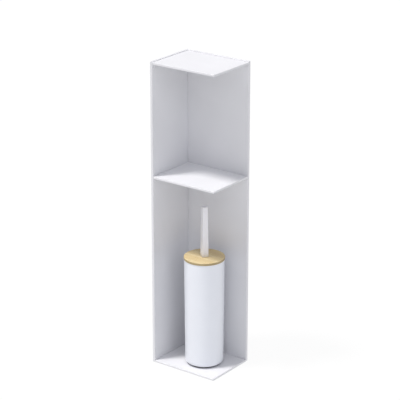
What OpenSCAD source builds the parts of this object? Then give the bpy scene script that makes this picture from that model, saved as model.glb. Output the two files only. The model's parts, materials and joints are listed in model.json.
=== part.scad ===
// Corner stand with three shelves, and a lidded toilet brush canister that stands on the lowest one.
// The origin is on the floor, under the middle of the stand. +Z is up, -Y is the open front and +X the
// open right side.

/* [Stand] */
// Width of the stand, along the back wall
stand_w = 155; // [140:1:200]
// Depth of the stand, along the side wall
stand_d = 120; // [115:1:160]
// Height of the walls' top edges above the floor
stand_h = 645; // [600:1:760]
// Thickness of the sheet steel
sheet_t = 1.2; // [0.8:0.1:1.4]
// Depth of the walls' folded edges
wall_t = 5; // [4.5:0.1:8]
// Depth of the shelves' folded front edges
shelf_t = 4; // [3.5:0.1:6]
// Depth of the shelf flanges that lie against the walls
flange_h = 12; // [11:0.5:20]
// Outer radius of a fold
fold_r = 1; // [0.6:0.1:1.2]
// Height of the middle shelf's upper face
middle_z = 408; // [400:1:430]
// How far the walls rise above the top shelf
wall_rise = 1.5; // [0.5:0.5:10]
// Gap between the folded edges and the floor, bridged by the feet
floor_gap = 1; // [0.5:0.1:3]
// Radius of a foot
foot_r = 8; // [5:0.5:12]

/* [Canister] */
// Radius of the canister at its rim
rim_r = 41.2; // [38:0.1:44]
// Radius of the canister at its bottom
bottom_r = 39.6; // [37:0.1:42]
// Height of the canister, from the shelf to its rim
canister_h = 229.5; // [215:0.5:245]
// Wall thickness of the canister
canister_t = 2; // [1.5:0.1:3]
// Radius of the rounded bottom edge
bottom_round = 6; // [4:0.5:8]
// Height of the soft ring under the canister
ring_h = 3; // [2:0.5:4]
// Canister's axis, to the right of the middle of the stand
canister_x = 12.4; // [8:0.1:16]
// Canister's axis, behind the middle of the stand
canister_y = -2.4; // [-6:0.1:2]

/* [Brush] */
// Radius of the lid
lid_r = 42; // [40:0.1:46]
// Thickness of the lid
lid_t = 5; // [4.5:0.1:8]
// Height of the handle above the lid
handle_h = 106.5; // [80:0.5:120]
// Width of the square handle where it meets the lid
handle_foot_w = 13.4; // [11:0.1:16]
// Width of the square handle at its tip
handle_tip_w = 10.9; // [9:0.1:14]
// Turn of the brush about its own axis, in degrees
handle_turn = -30; // [-45:1:45]
// Radius of the stem
stem_r = 6; // [5.5:0.1:7]
// Radius of the brush head, over its bristles
brush_r = 32; // [26:0.5:33]
// Length of the brush head
brush_h = 78; // [60:1:90]

/* [Hidden] */
$fn = 96;
eps = 0.01;

// Planes of the stand
left_x = -stand_w / 2;
right_x = stand_w / 2;
front_y = -stand_d / 2;
back_y = stand_d / 2;
inner_x = left_x + wall_t;
inner_y = back_y - wall_t;
shelf_w = right_x - inner_x;
shelf_d = inner_y - front_y;
top_z = stand_h - wall_rise;
base_z = floor_gap + shelf_t;
panel_h = stand_h - floor_gap;

// Flanges of the two screwed shelves: they stop short of the open edges and of the inner corner
flange_inset = 4;
flange_relief = 2;

// M4 shelf screws and press-in nuts
screw_r = 2;
screw_hole_r = 2.2;
screw_l = 6.2;
screw_head_r = 4;
screw_head_h = 2.2;
screw_head_crown = 0.6;
screw_drop = 7.4;
hex_socket_r = 1.45;
hex_socket_depth = 1.4;
nut_r = 3.5;
nut_h = 3;
nut_hole_r = 2.05;
side_screw_inset = 22;
back_screw_inset = 25;
side_screw_y = [front_y + side_screw_inset, inner_y - side_screw_inset];
back_screw_x = [inner_x + back_screw_inset, right_x - back_screw_inset];

// Tabs that hook the lowest shelf into the walls
tab_w = 18;
tab_reach = 2;
slot_gap = 0.3;
side_tab_y = side_screw_y;
back_tab_x = back_screw_x;
tab_z = base_z - sheet_t - fold_r;

// Feet, inside the folded edges of the lowest shelf
foot_clear = 2.5;
foot_inset = foot_r + sheet_t + foot_clear;
foot_h = base_z - sheet_t;
foot_round = 0.6;

// Canister levels, from the lowest shelf up
shell_z = base_z + ring_h;
rim_z = base_z + canister_h;
canister_floor_t = 2.5;
floor_z = shell_z + canister_floor_t;
shell_h = rim_z - shell_z;
ring_step = 0.6;
ring_w = 6;
ring_outer_r = bottom_r - bottom_round - ring_step;
ring_inner_r = ring_outer_r - ring_w;
ring_sunk = 1;
ring_gap = 0.1;
rim_chamfer = 0.5;

// Brush levels; the lid's seat is a hair above the rim
seat_gap = 0.02;
seat_z = rim_z + seat_gap;
lid_z = seat_z + lid_t;
lid_round = 0.8;
plug_plate_t = 2.5;
plug_skirt_h = 8;
plug_wall = 2;
plug_gap = 0.8;
plug_r = rim_r - canister_t - plug_gap;
hub_r = 12;
hub_z = seat_z - plug_skirt_h;
boss_r = 4;
boss_h = 5;
boss_place_r = 25;
wood_screw_r = 1.4;
wood_screw_hole_r = 1.5;
wood_screw_head_r = 3;
wood_screw_head_h = 1.6;
wood_screw_head_crown = 0.7;
wood_screw_grip = 3.2;
wood_screw_slack = 0.3;
tang_r = 4.5;
tang_gap = 0.05;
bristle_gap = 0.05;
tang_l = 12.5;
socket_slack = 0.5;
stem_flange_r = 11;
stem_flange_h = 2.5;
core_r = 7;
collar_r = 8.5;
collar_h = 4;
core_above_bristles = 8;
spigot_r = 4;
spigot_l = 12;
spigot_root = 1;
brush_clear = 4;
end_bristle_h = 12;
end_bristle_taper = 0.7;
bristle_shoulder = 8;
bristle_top_shoulder = 12;
brush_z = floor_z + brush_clear;
side_bristle_z = brush_z + end_bristle_h;
core_top_z = brush_z + brush_h + core_above_bristles;
handle_chamfer = 1.2;

// Folded sheets

// Slab whose upper edges and upright corners are rounded by r.
module rounded_slab(w, d, h, r) {
    for (x = [r, w - r])
        for (y = [r, d - r]) {
            translate([x, y, 0]) cylinder(r = r, h = h - r);
            translate([x, y, h - r]) sphere(r = r);
        }
    for (y = [r, d - r])
        translate([r, y, h - r]) rotate([0, 90, 0]) cylinder(r = r, h = w - 2 * r);
    for (x = [r, w - r])
        translate([x, r, h - r]) rotate([-90, 0, 0]) cylinder(r = r, h = d - 2 * r);
    translate([r, 0, 0]) cube([w - 2 * r, d, h - r]);
    translate([0, r, 0]) cube([w, d - 2 * r, h - r]);
    translate([r, r, 0]) cube([w - 2 * r, d - 2 * r, h]);
}

// Sheet with all four edges folded down by h; its flat face is at z = h.
module folded_sheet(w, d, h) {
    difference() {
        rounded_slab(w, d, h, fold_r);
        translate([sheet_t, sheet_t, -eps])
            cube([w - 2 * sheet_t, d - 2 * sheet_t, h - sheet_t + eps]);
    }
}

// Sheet of a shelf, lying between the walls with its upper face at height z.
module shelf_sheet(z) {
    translate([inner_x, front_y, z - shelf_t]) folded_sheet(shelf_w, shelf_d, shelf_t);
}

// The four screw places of a shelf at height z, each turned so that +Z points into the bay
// and z = 0 is the wall's inner face.
module at_shelf_screws(z) {
    for (y = side_screw_y)
        translate([inner_x, y, z - screw_drop]) rotate([0, 90, 0]) children();
    for (x = back_screw_x)
        translate([x, inner_y, z - screw_drop]) rotate([90, 0, 0]) children();
}

// Holes through a wall's sheet and a shelf's flange.
module shelf_screw_holes(z) {
    at_shelf_screws(z)
        translate([0, 0, -2 * sheet_t]) cylinder(r = screw_hole_r, h = 4 * sheet_t);
}

// Tabs at the lowest shelf's walls; gap makes them larger all round, to cut their slots.
module shelf_tabs(gap) {
    tab_t = sheet_t + 2 * gap;
    wide = tab_w + 2 * gap;
    reach = sheet_t + tab_reach + gap;
    for (y = side_tab_y)
        translate([inner_x - reach, y - wide / 2, tab_z - gap])
            cube([reach + sheet_t, wide, tab_t]);
    for (x = back_tab_x)
        translate([x - wide / 2, inner_y - sheet_t, tab_z - gap])
            cube([wide, reach + sheet_t, tab_t]);
}

// Shelf that is screwed to both walls through deeper flanges.
module screwed_shelf(z) {
    short = flange_inset + flange_relief;
    difference() {
        union() {
            shelf_sheet(z);
            translate([inner_x, front_y + flange_inset, z - flange_h])
                cube([sheet_t, shelf_d - short, flange_h - fold_r]);
            translate([inner_x + flange_relief, inner_y - sheet_t, z - flange_h])
                cube([shelf_w - short, sheet_t, flange_h - fold_r]);
        }
        shelf_screw_holes(z);
    }
}

module back_panel() {
    color("white") difference() {
        translate([inner_x, back_y, floor_gap]) rotate([90, 0, 0])
            folded_sheet(shelf_w, panel_h, wall_t);
        shelf_screw_holes(top_z);
        shelf_screw_holes(middle_z);
        shelf_tabs(slot_gap);
    }
}

module side_panel() {
    color("white") difference() {
        translate([left_x, front_y, stand_h]) rotate([0, 90, 0])
            folded_sheet(panel_h, stand_d, wall_t);
        shelf_screw_holes(top_z);
        shelf_screw_holes(middle_z);
        shelf_tabs(slot_gap);
    }
}

module top_shelf() {
    color("white") screwed_shelf(top_z);
}

module middle_shelf() {
    color("white") screwed_shelf(middle_z);
}

module base_shelf() {
    color("white") {
        shelf_sheet(base_z);
        shelf_tabs(0);
    }
}

// Fasteners and feet

// Low dome-headed screw with a hex socket; the head bears on the wall's hollow side.
module shelf_screws(z) {
    color("gainsboro") at_shelf_screws(z) translate([0, 0, -sheet_t]) difference() {
        union() {
            cylinder(r = screw_r, h = screw_l);
            translate([0, 0, -screw_head_h / 2]) cylinder(r = screw_head_r, h = screw_head_h / 2);
            translate([0, 0, -screw_head_h])
                cylinder(r1 = screw_head_crown * screw_head_r, r2 = screw_head_r, h = screw_head_h / 2);
        }
        translate([0, 0, -screw_head_h - eps])
            cylinder(r = hex_socket_r, h = hex_socket_depth + eps, $fn = 6);
    }
}

// Round press-in nuts on the inner side of a shelf's flanges.
module shelf_nuts(z) {
    color("silver") at_shelf_screws(z) translate([0, 0, sheet_t]) difference() {
        cylinder(r = nut_r, h = nut_h);
        translate([0, 0, -eps]) cylinder(r = nut_hole_r, h = nut_h + 2 * eps);
    }
}

module top_shelf_screws() {
    shelf_screws(top_z);
}

module middle_shelf_screws() {
    shelf_screws(middle_z);
}

module top_shelf_nuts() {
    shelf_nuts(top_z);
}

module middle_shelf_nuts() {
    shelf_nuts(middle_z);
}

// Round pad under a corner of the lowest shelf: side is -1 for left and +1 for right,
// end is -1 for front and +1 for back.
module foot(side, end) {
    x = side < 0 ? inner_x + foot_inset : right_x - foot_inset;
    y = end < 0 ? front_y + foot_inset : inner_y - foot_inset;
    color("dimgray") translate([x, y, 0]) {
        cylinder(r1 = foot_r - foot_round, r2 = foot_r, h = foot_round);
        translate([0, 0, foot_round]) cylinder(r = foot_r, h = foot_h - foot_round);
    }
}

module foot_front_left() {
    foot(-1, -1);
}

module foot_front_right() {
    foot(1, -1);
}

module foot_back_left() {
    foot(-1, 1);
}

module foot_back_right() {
    foot(1, 1);
}

// Canister

// Everything round is drawn on the canister's own axis.
module on_canister_axis() {
    translate([canister_x, canister_y, 0]) children();
}

// Half section of a tapered cup, r_low at its bottom and r_high at its top, with a rounded bottom edge.
module cup_section(r_low, r_high, h, edge_r) {
    polygon([[0, 0], [r_low - edge_r, 0], [r_low - edge_r, edge_r], [r_low, edge_r], [r_high, h], [0, h]]);
    intersection() {
        translate([r_low - edge_r, edge_r]) circle(r = edge_r);
        square([r_low, edge_r]);
    }
}

module canister_shell() {
    color("ghostwhite") on_canister_axis() difference() {
        translate([0, 0, shell_z]) rotate_extrude()
            cup_section(bottom_r, rim_r, shell_h, bottom_round);
        translate([0, 0, floor_z]) rotate_extrude()
            cup_section(bottom_r - canister_t, rim_r - canister_t, shell_h - canister_floor_t + eps,
                bottom_round - canister_t);
        translate([0, 0, rim_z - rim_chamfer]) difference() {
            cylinder(r = 2 * rim_r, h = rim_chamfer + eps);
            cylinder(r1 = rim_r, r2 = rim_r - rim_chamfer, h = rim_chamfer + eps);
        }
        translate([0, 0, shell_z - eps]) difference() {
            cylinder(r = ring_outer_r + ring_gap, h = ring_sunk + eps);
            translate([0, 0, -eps]) cylinder(r = ring_inner_r - ring_gap, h = ring_sunk + 3 * eps);
        }
    }
}

module canister_foot_ring() {
    color("dimgray") on_canister_axis() translate([0, 0, base_z]) difference() {
        cylinder(r = ring_outer_r, h = ring_h + ring_sunk);
        translate([0, 0, -eps]) cylinder(r = ring_inner_r, h = ring_h + ring_sunk + 2 * eps);
    }
}

// Brush

module on_brush_axis() {
    on_canister_axis() rotate([0, 0, handle_turn]) children();
}

module at_lid_screws() {
    for (turn = [0, 120, 240])
        rotate([0, 0, turn]) translate([boss_place_r, 0, 0]) children();
}

module lid() {
    color("burlywood") on_brush_axis() difference() {
        translate([0, 0, seat_z]) rotate_extrude() {
            square([lid_r - lid_round, lid_t]);
            translate([0, lid_round]) square([lid_r, lid_t - 2 * lid_round]);
            for (y = [lid_round, lid_t - lid_round])
                translate([lid_r - lid_round, y]) circle(r = lid_round);
        }
        translate([0, 0, seat_z - eps]) cylinder(r = tang_r + tang_gap, h = lid_t + 2 * eps);
        at_lid_screws()
            translate([0, 0, seat_z - eps])
                cylinder(r = wood_screw_hole_r, h = wood_screw_grip + wood_screw_slack);
    }
}

// Plate, hub and skirt in one moulding, with three bosses for the screws.
module lid_plug() {
    color("whitesmoke") on_brush_axis() difference() {
        union() {
            difference() {
                translate([0, 0, hub_z]) cylinder(r = plug_r, h = plug_skirt_h);
                translate([0, 0, hub_z - eps])
                    cylinder(r = plug_r - plug_wall, h = plug_skirt_h - plug_plate_t + eps);
            }
            translate([0, 0, hub_z]) cylinder(r = hub_r, h = plug_skirt_h);
            at_lid_screws() translate([0, 0, seat_z - boss_h]) cylinder(r = boss_r, h = boss_h);
        }
        translate([0, 0, hub_z - eps]) cylinder(r = tang_r + tang_gap, h = plug_skirt_h + 2 * eps);
        at_lid_screws() translate([0, 0, hub_z])
            cylinder(r = wood_screw_hole_r, h = plug_skirt_h + eps);
    }
}

module lid_screws() {
    crown_r = wood_screw_head_crown * wood_screw_head_r;
    color("silver") on_brush_axis() at_lid_screws() translate([0, 0, seat_z - boss_h]) {
        cylinder(r = wood_screw_r, h = boss_h + wood_screw_grip);
        translate([0, 0, -wood_screw_head_h])
            cylinder(r1 = crown_r, r2 = wood_screw_head_r, h = wood_screw_head_h);
    }
}

// Upright side view of the tapered bar, w_low wide at the lid and w_high wide at the tip.
module bar_taper(w_low, w_high) {
    rotate([90, 0, 0]) linear_extrude(height = 4 * handle_foot_w, center = true)
        polygon([[-w_low / 2, 0], [w_low / 2, 0], [w_high / 2, handle_h], [-w_high / 2, handle_h]]);
}

module handle() {
    corner_low = (handle_foot_w - handle_chamfer) * sqrt(2);
    corner_high = (handle_tip_w - handle_chamfer) * sqrt(2);
    tang_below_lid = tang_l + plug_skirt_h;
    color("aliceblue") on_brush_axis() {
        translate([0, 0, lid_z]) intersection() {
            bar_taper(handle_foot_w, handle_tip_w);
            rotate([0, 0, 90]) bar_taper(handle_foot_w, handle_tip_w);
            rotate([0, 0, 45]) bar_taper(corner_low, corner_high);
            rotate([0, 0, 135]) bar_taper(corner_low, corner_high);
        }
        translate([0, 0, seat_z - tang_below_lid]) cylinder(r = tang_r, h = tang_below_lid + lid_t);
    }
}

module stem() {
    stem_l = hub_z - core_top_z;
    color("whitesmoke") on_brush_axis() difference() {
        union() {
            translate([0, 0, core_top_z]) cylinder(r = stem_r, h = stem_l);
            translate([0, 0, hub_z - stem_flange_h]) cylinder(r = stem_flange_r, h = stem_flange_h);
            translate([0, 0, core_top_z - spigot_l]) cylinder(r = spigot_r, h = spigot_l + spigot_root);
        }
        translate([0, 0, hub_z - tang_l - socket_slack])
            cylinder(r = tang_r + tang_gap, h = tang_l + socket_slack + eps);
    }
}

module brush_core() {
    color("whitesmoke") on_brush_axis() difference() {
        union() {
            translate([0, 0, side_bristle_z]) cylinder(r = core_r, h = core_top_z - side_bristle_z);
            translate([0, 0, core_top_z - collar_h]) cylinder(r = collar_r, h = collar_h);
            translate([0, 0, side_bristle_z]) sphere(r = core_r);
        }
        translate([0, 0, core_top_z - spigot_l - socket_slack])
            cylinder(r = spigot_r + tang_gap, h = spigot_l + socket_slack + eps);
    }
}

// Outer shape of the tufts around the core.
module side_bristles() {
    tuft_h = brush_h - end_bristle_h;
    shoulder = bristle_shoulder;
    color("white") on_brush_axis() translate([0, 0, side_bristle_z]) rotate_extrude()
        polygon([
            [core_r, 0], [brush_r - shoulder, 0], [brush_r, shoulder],
            [brush_r, tuft_h - bristle_top_shoulder], [brush_r - shoulder, tuft_h], [core_r, tuft_h]
        ]);
}

// Outer shape of the tufts on the core's lower end.
module end_bristles() {
    end_r = brush_r - bristle_shoulder;
    color("white") on_brush_axis() difference() {
        translate([0, 0, brush_z])
            cylinder(r1 = end_bristle_taper * end_r, r2 = end_r, h = end_bristle_h);
        translate([0, 0, side_bristle_z]) sphere(r = core_r + bristle_gap);
    }
}

back_panel();
side_panel();
top_shelf();
middle_shelf();
base_shelf();
top_shelf_screws();
middle_shelf_screws();
top_shelf_nuts();
middle_shelf_nuts();
foot_front_left();
foot_front_right();
foot_back_left();
foot_back_right();
canister_shell();
canister_foot_ring();
lid();
lid_plug();
lid_screws();
handle();
stem();
brush_core();
side_bristles();
end_bristles();
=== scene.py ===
"""Corner stand with a lidded toilet brush canister: the looks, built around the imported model.

Everything is in metres and in the model's own frame: +Z up, -Y the open front, +X the open right side.
"""

import json
import math
import random

import bmesh
import bpy
from mathutils import Matrix, Vector


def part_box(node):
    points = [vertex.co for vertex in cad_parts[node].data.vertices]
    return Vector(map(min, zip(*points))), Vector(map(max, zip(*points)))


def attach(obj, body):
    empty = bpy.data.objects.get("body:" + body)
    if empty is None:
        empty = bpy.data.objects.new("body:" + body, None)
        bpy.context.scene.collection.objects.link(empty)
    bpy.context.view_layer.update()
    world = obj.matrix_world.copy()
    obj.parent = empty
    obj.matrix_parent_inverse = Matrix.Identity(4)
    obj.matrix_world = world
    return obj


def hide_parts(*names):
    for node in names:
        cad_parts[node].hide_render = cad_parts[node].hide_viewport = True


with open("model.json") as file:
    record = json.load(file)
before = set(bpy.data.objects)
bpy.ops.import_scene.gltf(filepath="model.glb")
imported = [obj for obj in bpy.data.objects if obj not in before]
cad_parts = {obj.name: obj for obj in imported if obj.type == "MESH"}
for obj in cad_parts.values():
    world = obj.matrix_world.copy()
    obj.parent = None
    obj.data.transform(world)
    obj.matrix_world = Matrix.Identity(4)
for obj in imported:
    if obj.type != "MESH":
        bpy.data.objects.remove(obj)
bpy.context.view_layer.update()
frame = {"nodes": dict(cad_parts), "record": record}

MM = 0.001

# Camera: a long lens, looking at the stand from its front right and a little above.
VIEW_AZIMUTH = math.radians(36.75)
VIEW_ELEVATION = math.radians(20.0)
VIEW_DISTANCE = 3.422
VIEW_TARGET = Vector((-0.0191, 0.0249, 0.3455))
LENS = 152.0
SENSOR = 36.0

# Key light: small and strong, from the front left and high up.
KEY_LIGHT = {
    "direction": Vector((-0.26, -0.33, 1.0)),
    "strength": 2.45,
    "spread": math.radians(10.0),
    "colour": (1.0, 0.98, 0.96),
}

# Fill light: wide and weak, from the front right and lower down.
FILL_LIGHT = {
    "direction": Vector((0.7, -0.6, 0.62)),
    "strength": 0.68,
    "spread": math.radians(60.0),
    "colour": (0.92, 0.94, 1.0),
}

# Sky: (sine of the elevation, colour). A pale band at the horizon, dim above it and bright overhead.
SKY = (
    (0.1, (0.45, 0.45, 0.46)),
    (0.15, (0.09, 0.092, 0.105)),
    (0.9, (0.74, 0.745, 0.77)),
)

# Floor: a wide square that glows almost white, so that only a faint shadow shows on it.
FLOOR_HALF_WIDTH = 15.0
FLOOR_DARKER = 0.055
FLOOR_LIGHTER = 0.065
FLOOR_GLOW = 0.93

# Lid: bamboo strips that lie along X.
STRIP_WIDTH = 6.5 * MM
KNOT_REACH = 90.0 * MM
KNOT_HALF_WIDTH = 0.45 * MM
GLUE_SHARE = 0.035
ROW_SEED = 3.7

# Handle: a tapered square bar, turned a little from the walls, on a round tang.
HANDLE_TURN = math.radians(-30.0)
HANDLE_FOOT_WIDTH = 13.4 * MM
HANDLE_TIP_WIDTH = 10.9 * MM
HANDLE_CORNER = 1.3 * MM
HANDLE_CORNER_GROWTH = 0.3
HANDLE_TIP_ROUND = 1.2 * MM
HANDLE_FOOT_ROUND = 0.35 * MM
CORNER_STEPS = 6
HANDLE_SHAFT_STEPS = 12
HANDLE_TIP_STEPS = 6
TANG_RADIUS = 4.5 * MM
TANG_GAP = 0.05 * MM
TANG_SIDES = 48

# Filaments and the core that they stand in
CORE_RADIUS = 7.0 * MM
ROOT_DEPTH = 0.4 * MM
FILAMENT_RADIUS = 0.24 * MM
FILAMENT_NARROWING = 0.25
FILAMENT_SIDES = 4
FILAMENT_STEPS = 4
FILAMENTS_PER_TUFT = 10
SEED = 7

# Tufts round the core. The strays are standard deviations.
RINGS = 14
TUFTS_PER_RING = 16
LOWER_SHOULDER = 8.0 * MM
UPPER_SHOULDER = 12.0 * MM
BELOW_LOWEST_RING = 1.6 * MM
ABOVE_HIGHEST_RING = 2.4 * MM
TIP_MARGIN = 0.8 * MM
TIP_INSET = 0.6 * MM
SIDE_LENGTHS = (0.955, 0.995)
ROOT_STRAY_ANGLE = 0.035
TIP_STRAY_ANGLE = 0.11
ROOT_STRAY_HEIGHT = 0.35 * MM
TIP_STRAY_HEIGHT = 1.3 * MM
BOW = 0.5 * MM

# Tufts on the core's lower end: one in the middle, and six more in each ring than in the one inside it.
END_TUFT_RINGS = 6
END_TUFTS_ADDED = 6
END_LEAN = math.radians(80.0)
END_LENGTHS = (0.93, 0.98)
END_EXTRA_LENGTH = 0.75
END_STRAY_ANGLE = 0.1
END_STRAY_LEAN = 0.05


# Materials


def grey(tone):
    return (tone, tone, tone)


def fill_ramp(ramp_node, stops):
    """Sets the stops of a colour ramp. Each is (position, colour), in rising order."""
    elements = ramp_node.color_ramp.elements
    while len(elements) < len(stops):
        elements.new(0.5)
    for element, (position, colour) in zip(elements, stops):
        element.position = position
        element.color = (*colour, 1.0)


class Shader:
    """A Principled material whose nodes are added one call at a time. Patterns are in object metres."""

    # Sockets of the Mix node when it mixes colours
    MIX_FACTOR = 0
    MIX_A = 6
    MIX_B = 7
    MIX_RESULT = 2

    def __init__(self, name, **constants):
        self.material = bpy.data.materials.new(name)
        self.material.use_nodes = True
        self.tree = self.material.node_tree
        self.surface = self.tree.nodes["Principled BSDF"]
        self.place = self.tree.nodes.new("ShaderNodeTexCoord").outputs["Object"]
        for socket, value in constants.items():
            self.surface.inputs[socket.replace("_", " ")].default_value = value

    def node(self, kind, inputs, **settings):
        """A new node. Each input is a socket to link from, or a value."""
        made = self.tree.nodes.new("ShaderNode" + kind)
        for key, value in settings.items():
            setattr(made, key, value)
        for socket, value in inputs.items():
            if isinstance(value, bpy.types.NodeSocket):
                self.tree.links.new(value, made.inputs[socket])
            else:
                made.inputs[socket].default_value = value
        return made

    def set(self, socket, value):
        """Links a value to the surface."""
        self.tree.links.new(value, self.surface.inputs[socket])

    def scaled(self, place, x=1.0, y=1.0, z=1.0):
        return self.node("Mapping", {"Vector": place, "Scale": (x, y, z)}).outputs[0]

    def noise(self, scale, place=None, detail=3.0, roughness=0.5):
        """Noise from 0 to 1. Its scale is in waves to the metre."""
        inputs = {"Vector": place or self.place, "Scale": scale, "Detail": detail, "Roughness": roughness}
        return self.node("TexNoise", inputs).outputs[0]

    def ramp(self, factor, *stops):
        made = self.node("ValToRGB", {"Fac": factor})
        fill_ramp(made, stops)
        return made.outputs[0]

    def spread(self, value, low, high, start=0.0, end=1.0):
        """Maps start..end to low..high, and stays within them."""
        inputs = {"Value": value, "From Min": start, "From Max": end, "To Min": low, "To Max": high}
        return self.node("MapRange", inputs).outputs[0]

    def maths(self, operation, a, b=0.0):
        return self.node("Math", {0: a, 1: b}, operation=operation).outputs[0]

    def mix(self, factor, a, b, blend="MIX"):
        inputs = {self.MIX_FACTOR: factor, self.MIX_A: a, self.MIX_B: b}
        made = self.node("Mix", inputs, data_type="RGBA", blend_type=blend)
        return made.outputs[self.MIX_RESULT]

    def bump(self, height, distance, strength, under=None):
        """A normal for the surface, laid over the normal of a coarser bump if there is one."""
        inputs = {"Height": height, "Distance": distance, "Strength": strength}
        if under is not None:
            inputs["Normal"] = under
        return self.node("Bump", inputs).outputs[0]


def powder_coat(name, colour):
    """Fine-textured white powder coat: an orange peel of about a millimetre over a finer grain."""
    s = Shader(name, Specular_IOR_Level=0.35)
    peel = s.noise(scale=900.0, detail=2.0)
    grain = s.noise(scale=4200.0, detail=1.0)
    cloud = s.noise(scale=14.0, detail=2.0)
    darker = tuple(0.965 * c for c in colour)
    s.set("Base Color", s.ramp(cloud, (0.3, darker), (0.7, colour)))
    s.set("Roughness", s.spread(peel, low=0.46, high=0.6))
    coarse = s.bump(peel, distance=0.05 * MM, strength=0.35)
    s.set("Normal", s.bump(grain, distance=0.015 * MM, strength=0.3, under=coarse))
    return s.material


def satin_plastic(name, colour, roughness, coat=0.0):
    """Moulded plastic: an even tone with a slight cloudiness and a very fine spark texture."""
    s = Shader(name, IOR=1.49, Coat_Weight=coat, Coat_Roughness=0.2)
    cloud = s.noise(scale=22.0)
    spark = s.noise(scale=2600.0, detail=2.0)
    darker = tuple(0.97 * c for c in colour)
    s.set("Base Color", s.ramp(cloud, (0.25, darker), (0.75, colour)))
    s.set("Roughness", s.spread(spark, low=roughness - 0.04, high=roughness + 0.06))
    s.set("Normal", s.bump(spark, distance=0.01 * MM, strength=0.25))
    return s.material


def frosted_plastic(name):
    """Frosted clear moulding: milky, lets a little light through, with faint flow lines along its length."""
    s = Shader(
        name,
        IOR=1.49,
        Transmission_Weight=0.08,
        Subsurface_Weight=0.25,
        Subsurface_Radius=(0.006, 0.006, 0.007),
        Subsurface_Scale=1.0,
    )
    flow = s.noise(scale=60.0, place=s.scaled(s.place, x=12.0, y=12.0), detail=4.0)
    frost = s.noise(scale=3000.0, detail=2.0)
    s.set("Base Color", s.ramp(flow, (0.3, (0.84, 0.83, 0.86)), (0.7, (0.895, 0.885, 0.915))))
    s.set("Roughness", s.spread(frost, low=0.36, high=0.5))
    s.set("Normal", s.bump(frost, distance=0.01 * MM, strength=0.4))
    return s.material


def bamboo(name, centre):
    """Laminated bamboo: strips of different tone, fine fibres along them and a darker knot line on some,
    with painted shade on its side faces.
    """
    s = Shader(name, Specular_IOR_Level=0.25)
    moved = s.node("Mapping", {"Vector": s.place, "Location": (-centre.x, -centre.y, 0.0)}).outputs[0]
    axes = s.node("SeparateXYZ", {0: moved})
    along = axes.outputs[0]
    across = s.maths("DIVIDE", axes.outputs[1], STRIP_WIDTH)

    # each strip has a tone of its own, and its own part of the fibre pattern
    row = s.maths("FLOOR", across)
    row_place = s.node("CombineXYZ", {0: row, 1: ROW_SEED}).outputs[0]
    row_tone = s.node("TexWhiteNoise", {"Vector": row_place}, noise_dimensions="3D").outputs[0]
    fibre_inputs = {0: s.scaled(moved, x=0.035), 1: row_place}
    fibre_place = s.node("VectorMath", fibre_inputs, operation="ADD").outputs[0]
    fibre = s.noise(scale=1900.0, place=fibre_place, detail=5.0, roughness=0.62)
    streak = s.noise(scale=420.0, place=fibre_place, detail=2.0)
    strip_colour = s.ramp(
        row_tone, (0.0, (0.683, 0.568, 0.338)), (0.5, (0.752, 0.642, 0.4)), (1.0, (0.812, 0.714, 0.472))
    )
    fibre_colour = s.ramp(fibre, (0.34, (0.78, 0.66, 0.48)), (0.62, grey(1.0)))
    streak_colour = s.ramp(streak, (0.3, (0.86, 0.8, 0.7)), (0.7, grey(1.0)))
    wood = s.mix(0.75, strip_colour, fibre_colour, blend="MULTIPLY")
    wood = s.mix(0.6, wood, streak_colour, blend="MULTIPLY")

    # knot lines: one narrow dark band across a strip, at its own place along it
    knot_at = s.spread(s.noise(scale=1.0, place=row_place, detail=0.0), low=-KNOT_REACH, high=KNOT_REACH)
    from_knot = s.maths("ABSOLUTE", s.maths("SUBTRACT", along, knot_at))
    knot = s.maths("LESS_THAN", from_knot, KNOT_HALF_WIDTH)
    wood = s.mix(s.maths("MULTIPLY", knot, 0.45), wood, (0.36, 0.22, 0.1, 1.0))

    # glue joints between the strips
    joint = s.maths("LESS_THAN", s.maths("FRACT", across), GLUE_SHARE)
    wood = s.mix(s.maths("MULTIPLY", joint, 0.5), wood, (0.4, 0.25, 0.11, 1.0))

    # painted shade: the side faces are painted darker than the top face, as if in shade from the high light
    facing_up = s.node("SeparateXYZ", {0: s.node("NewGeometry", {}).outputs["Normal"]}).outputs[2]
    side = s.spread(s.maths("ABSOLUTE", facing_up), low=1.0, high=0.0, start=0.35, end=0.75)
    wood = s.mix(side, wood, s.mix(0.75, wood, (0.3, 0.23, 0.12, 1.0)))

    s.set("Base Color", wood)
    s.set("Roughness", s.spread(fibre, low=0.5, high=0.38))
    height = s.maths("SUBTRACT", fibre, s.maths("MULTIPLY", joint, 0.6))
    s.set("Normal", s.bump(height, distance=0.04 * MM, strength=0.35))
    return s.material


def rubber(name, tone):
    """Matt elastomer with a fine grain and a little dust."""
    s = Shader(name, Specular_IOR_Level=0.3)
    grain = s.noise(scale=3500.0, detail=2.0)
    dust = s.noise(scale=120.0, detail=4.0)
    s.set("Base Color", s.ramp(dust, (0.35, grey(tone)), (0.8, grey(1.3 * tone))))
    s.set("Roughness", s.spread(grain, low=0.72, high=0.9))
    s.set("Normal", s.bump(grain, distance=0.03 * MM, strength=0.4))
    return s.material


def zinc(name):
    """Bright zinc plating with fine turning marks."""
    s = Shader(name, Metallic=1.0)
    marks = s.noise(scale=500.0, place=s.scaled(s.place, z=7.0), detail=4.0)
    s.set("Base Color", s.ramp(marks, (0.3, (0.55, 0.56, 0.58)), (0.7, grey(0.72))))
    s.set("Roughness", s.spread(marks, low=0.28, high=0.42))
    s.set("Normal", s.bump(marks, distance=0.01 * MM, strength=0.3))
    return s.material


def nylon(name):
    """White nylon filament, slightly see-through, each length a little different in tone."""
    s = Shader(name, IOR=1.53, Transmission_Weight=0.05)
    tone = s.noise(scale=340.0, detail=1.0)
    s.set("Base Color", s.ramp(tone, (0.35, (0.92, 0.93, 0.94)), (0.65, (0.97, 0.975, 0.98))))
    s.set("Roughness", s.spread(tone, low=0.3, high=0.45))
    return s.material


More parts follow.
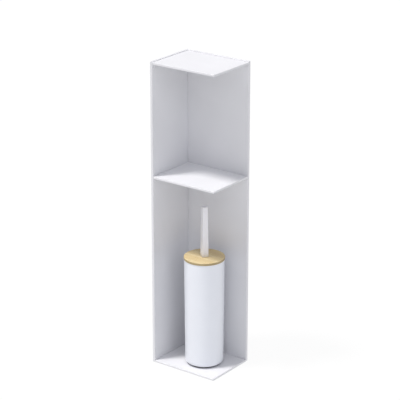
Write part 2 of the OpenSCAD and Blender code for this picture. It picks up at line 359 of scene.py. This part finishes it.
lid_low, lid_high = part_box("lid")
axis_x = (lid_low.x + lid_high.x) / 2
axis_y = (lid_low.y + lid_high.y) / 2
BRUSH_AXIS = Vector((axis_x, axis_y, 0.0))

materials = {
    "steel": powder_coat("white_powder_coat", (0.735, 0.735, 0.76)),
    "screw": powder_coat("screw_paint", grey(0.8)),
    "nut": zinc("zinc_plating"),
    "pad": rubber("foot_rubber", tone=0.07),
    "canister": satin_plastic("canister_plastic", (0.79, 0.81, 0.865), roughness=0.3, coat=0.15),
    # the foot ring's dark tone is partly the rubber's own colour and partly painted shade for the shadow in
    # the gap under the canister
    "ring": rubber("ring_rubber_and_painted_shade", tone=0.09),
    "bamboo": bamboo("lid_bamboo", BRUSH_AXIS),
    "moulding": satin_plastic("white_moulding", grey(0.86), roughness=0.4),
    "frosted": frosted_plastic("frosted_handle"),
    "bristle": nylon("nylon_bristle"),
}

slot_of = {part["node"]: part["material_slot"] for part in frame["record"]["subparts"]}
for node_name, node in frame["nodes"].items():
    node.data.materials.clear()
    node.data.materials.append(materials[slot_of[node_name]])


# Pieces


def new_piece(name, mesh_builder, slot_name, body):
    """Makes an object from a bmesh builder and puts it on its body."""
    mesh = bpy.data.meshes.new(name)
    build = bmesh.new()
    mesh_builder(build)
    bmesh.ops.recalc_face_normals(build, faces=build.faces)
    build.to_mesh(mesh)
    build.free()
    mesh.materials.append(materials[slot_name])
    piece = bpy.data.objects.new(name, mesh)
    bpy.context.scene.collection.objects.link(piece)
    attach(piece, body)
    return piece


def around_brush(radius, angle, z):
    """The point at a distance from the brush's axis, in a direction round it and at a height."""
    return BRUSH_AXIS + Vector((radius * math.cos(angle), radius * math.sin(angle), z))


def rounded_square(width, corner):
    """Points round a square with rounded corners."""
    reach = width / 2 - corner
    points = []
    for quarter in range(4):
        middle = math.radians(45 + 90 * quarter)
        centre = Vector((math.copysign(reach, math.cos(middle)), math.copysign(reach, math.sin(middle))))
        for step in range(CORNER_STEPS + 1):
            angle = math.radians(90 * (quarter + step / CORNER_STEPS))
            points.append(centre + corner * Vector((math.cos(angle), math.sin(angle))))
    return points


def skin(build, rings):
    """Joins rings of vertices, all of one length, with smooth faces."""
    count = len(rings[0])
    for lower, upper in zip(rings, rings[1:]):
        for i in range(count):
            j = (i + 1) % count
            face = build.faces.new((lower[i], lower[j], upper[j], upper[i]))
            face.smooth = True


def loft(build, rings):
    """Joins rings of points, all of one length, into a closed skin with both ends filled."""
    made = [[build.verts.new(p) for p in ring] for ring in rings]
    skin(build, made)
    build.faces.new(made[0][::-1])
    build.faces.new(made[-1])


def build_handle(build):
    """Tapered square bar with soft corners and a softly rounded tip, and the round tang below it."""
    low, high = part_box("handle")
    foot_z = lid_high.z
    length = high.z - foot_z
    turn = Matrix.Rotation(HANDLE_TURN, 3, "Z")

    def ring(z, inset=0.0):
        share = (z - foot_z) / length
        width = HANDLE_FOOT_WIDTH + share * (HANDLE_TIP_WIDTH - HANDLE_FOOT_WIDTH)
        corner = HANDLE_CORNER + HANDLE_CORNER_GROWTH * inset
        flat = rounded_square(width - 2 * inset, corner)
        return [BRUSH_AXIS + turn @ Vector((p.x, p.y, z)) for p in flat]

    shaft_low = foot_z + HANDLE_FOOT_ROUND
    shaft_high = high.z - HANDLE_TIP_ROUND
    rings = [ring(foot_z, HANDLE_FOOT_ROUND), ring(shaft_low)]
    for step in range(1, HANDLE_SHAFT_STEPS + 1):
        rings.append(ring(shaft_low + (shaft_high - shaft_low) * step / HANDLE_SHAFT_STEPS))
    for step in range(1, HANDLE_TIP_STEPS + 1):
        angle = math.radians(90 * step / HANDLE_TIP_STEPS)
        rise = HANDLE_TIP_ROUND * math.sin(angle)
        rings.append(ring(shaft_high + rise, HANDLE_TIP_ROUND * (1 - math.cos(angle))))
    loft(build, rings)

    angles = [2 * math.pi * side / TANG_SIDES for side in range(TANG_SIDES)]
    tang_ends = (low.z, foot_z - TANG_GAP)
    loft(build, [[around_brush(TANG_RADIUS, angle, z) for angle in angles] for z in tang_ends])


def add_filament(build, root, tip, bend):
    """A thin rod from root to tip that bows by bend and narrows to its tip. Its root end is open."""
    along = (tip - root).normalized()
    side = along.orthogonal().normalized()
    other = along.cross(side)
    angles = [2 * math.pi * i / FILAMENT_SIDES for i in range(FILAMENT_SIDES)]
    rings = []
    for step in range(FILAMENT_STEPS + 1):
        share = step / FILAMENT_STEPS
        middle = root.lerp(tip, share) + bend * math.sin(math.pi * share) * share
        thick = FILAMENT_RADIUS * (1.0 - FILAMENT_NARROWING * share)
        rings.append([
            build.verts.new(middle + thick * (math.cos(angle) * side + math.sin(angle) * other))
            for angle in angles
        ])
    skin(build, rings)
    build.faces.new(rings[-1])


def tuft_direction(ring, tuft, tufts):
    """Direction of a tuft round the axis. Every other ring is turned by half a step."""
    return 2 * math.pi * (tuft + 0.5 * (ring % 2)) / tufts


side_low, side_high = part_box("side_bristles")
end_low, end_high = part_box("end_bristles")
BRUSH_RADIUS = (side_high.x - side_low.x) / 2


def side_reach(z):
    """Radius of the brush head's outline at height z."""
    low_part = (z - side_low.z) / LOWER_SHOULDER
    high_part = (side_high.z - z) / UPPER_SHOULDER
    share = max(0.0, min(1.0, low_part, high_part))
    return BRUSH_RADIUS - LOWER_SHOULDER * (1.0 - math.sin(math.pi / 2 * share))


def build_side_tufts(build):
    """Rings of tufts that stand out from the core."""
    dice = random.Random(SEED)
    lowest = side_low.z + BELOW_LOWEST_RING
    highest = side_high.z - ABOVE_HIGHEST_RING
    for ring in range(RINGS):
        z = lowest + (highest - lowest) * ring / (RINGS - 1)
        for tuft in range(TUFTS_PER_RING):
            middle = tuft_direction(ring, tuft, TUFTS_PER_RING)
            for _ in range(FILAMENTS_PER_TUFT):
                root_angle = middle + dice.gauss(0, ROOT_STRAY_ANGLE)
                tip_angle = middle + dice.gauss(0, TIP_STRAY_ANGLE)
                root_z = z + dice.gauss(0, ROOT_STRAY_HEIGHT)
                tip_z = z + dice.gauss(0, TIP_STRAY_HEIGHT)
                tip_z = min(max(tip_z, side_low.z + TIP_MARGIN), side_high.z - TIP_MARGIN)
                reach = (side_reach(tip_z) - TIP_INSET) * dice.uniform(*SIDE_LENGTHS)
                root = around_brush(CORE_RADIUS - ROOT_DEPTH, root_angle, root_z)
                tip = around_brush(reach, tip_angle, tip_z)
                bend = Vector([dice.gauss(0, BOW) for _ in range(3)])
                add_filament(build, root, tip, bend)


def build_end_tufts(build):
    """Rings of tufts that fan down and out from the core's round lower end."""
    dice = random.Random(SEED + 1)
    drop = end_high.z - end_low.z
    core_end = BRUSH_AXIS + Vector((0, 0, end_high.z))
    for ring in range(END_TUFT_RINGS):
        share = ring / (END_TUFT_RINGS - 1)
        tufts = 1 + END_TUFTS_ADDED * ring
        for tuft in range(tufts):
            middle = tuft_direction(ring, tuft, tufts)
            for _ in range(FILAMENTS_PER_TUFT):
                angle = middle + dice.gauss(0, END_STRAY_ANGLE)
                lean = max(0.0, END_LEAN * share + dice.gauss(0, END_STRAY_LEAN))
                length = (1.0 + END_EXTRA_LENGTH * share**2) * drop * dice.uniform(*END_LENGTHS)
                along = Vector((
                    math.sin(lean) * math.cos(angle),
                    math.sin(lean) * math.sin(angle),
                    -math.cos(lean),
                ))
                root = core_end + (CORE_RADIUS - ROOT_DEPTH) * along
                tip = core_end + length * along
                tip.z = max(tip.z, end_low.z + FILAMENT_RADIUS)
                add_filament(build, root, tip, Vector((0, 0, 0)))


handle = new_piece("handle_bar", build_handle, "frosted", "brush")
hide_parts("handle")
side_tufts = new_piece("side_tufts", build_side_tufts, "bristle", "brush")
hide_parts("side_bristles")
end_tufts = new_piece("end_tufts", build_end_tufts, "bristle", "brush")
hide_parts("end_bristles")


# Floor, lights and camera


def pale_floor():
    """A plain floor at the feet's height."""
    mesh = bpy.data.meshes.new("floor")
    half = FLOOR_HALF_WIDTH
    corners = [(-half, -half, 0), (half, -half, 0), (half, half, 0), (-half, half, 0)]
    mesh.from_pydata(corners, [], [(0, 1, 2, 3)])
    floor = bpy.data.objects.new("floor", mesh)
    bpy.context.scene.collection.objects.link(floor)
    s = Shader(
        "pale_floor",
        Roughness=0.9,
        Specular_IOR_Level=0.1,
        Emission_Color=(1.0, 1.0, 1.0, 1.0),
        Emission_Strength=FLOOR_GLOW,
    )
    s.set("Base Color", s.ramp(s.noise(scale=2.0), (0.3, grey(FLOOR_DARKER)), (0.7, grey(FLOOR_LIGHTER))))
    mesh.materials.append(s.material)


def distant_light(name, direction, strength, spread, colour):
    """A far studio light that shines from the given direction, alike on the whole floor."""
    light = bpy.data.lights.new(name, "SUN")
    light.energy = strength
    light.angle = spread
    light.color = colour
    lamp = bpy.data.objects.new(name, light)
    lamp.rotation_euler = direction.to_track_quat("Z", "Y").to_euler()
    bpy.context.scene.collection.objects.link(lamp)


def studio():
    """The sky, whose colour goes by height above the horizon, and the two lights."""
    world = bpy.data.worlds.new("studio")
    bpy.context.scene.world = world
    world.use_nodes = True
    tree = world.node_tree
    direction = tree.nodes.new("ShaderNodeTexCoord").outputs["Generated"]
    axes = tree.nodes.new("ShaderNodeSeparateXYZ")
    tree.links.new(direction, axes.inputs[0])
    ramp = tree.nodes.new("ShaderNodeValToRGB")
    fill_ramp(ramp, SKY)
    tree.links.new(axes.outputs["Z"], ramp.inputs[0])
    tree.links.new(ramp.outputs[0], tree.nodes["Background"].inputs["Color"])
    distant_light("key", **KEY_LIGHT)
    distant_light("fill", **FILL_LIGHT)


def photographer():
    """The camera, at its distance from the target along the line of sight."""
    camera = bpy.data.cameras.new("camera")
    camera.lens = LENS
    camera.sensor_width = SENSOR
    seat = bpy.data.objects.new("camera", camera)
    back = Vector((
        math.sin(VIEW_AZIMUTH) * math.cos(VIEW_ELEVATION),
        -math.cos(VIEW_AZIMUTH) * math.cos(VIEW_ELEVATION),
        math.sin(VIEW_ELEVATION),
    ))
    seat.location = VIEW_TARGET + VIEW_DISTANCE * back
    seat.rotation_euler = back.to_track_quat("Z", "Y").to_euler()
    bpy.context.scene.collection.objects.link(seat)
    bpy.context.scene.camera = seat


pale_floor()
studio()
photographer()
bpy.context.scene.view_settings.view_transform = "Standard"
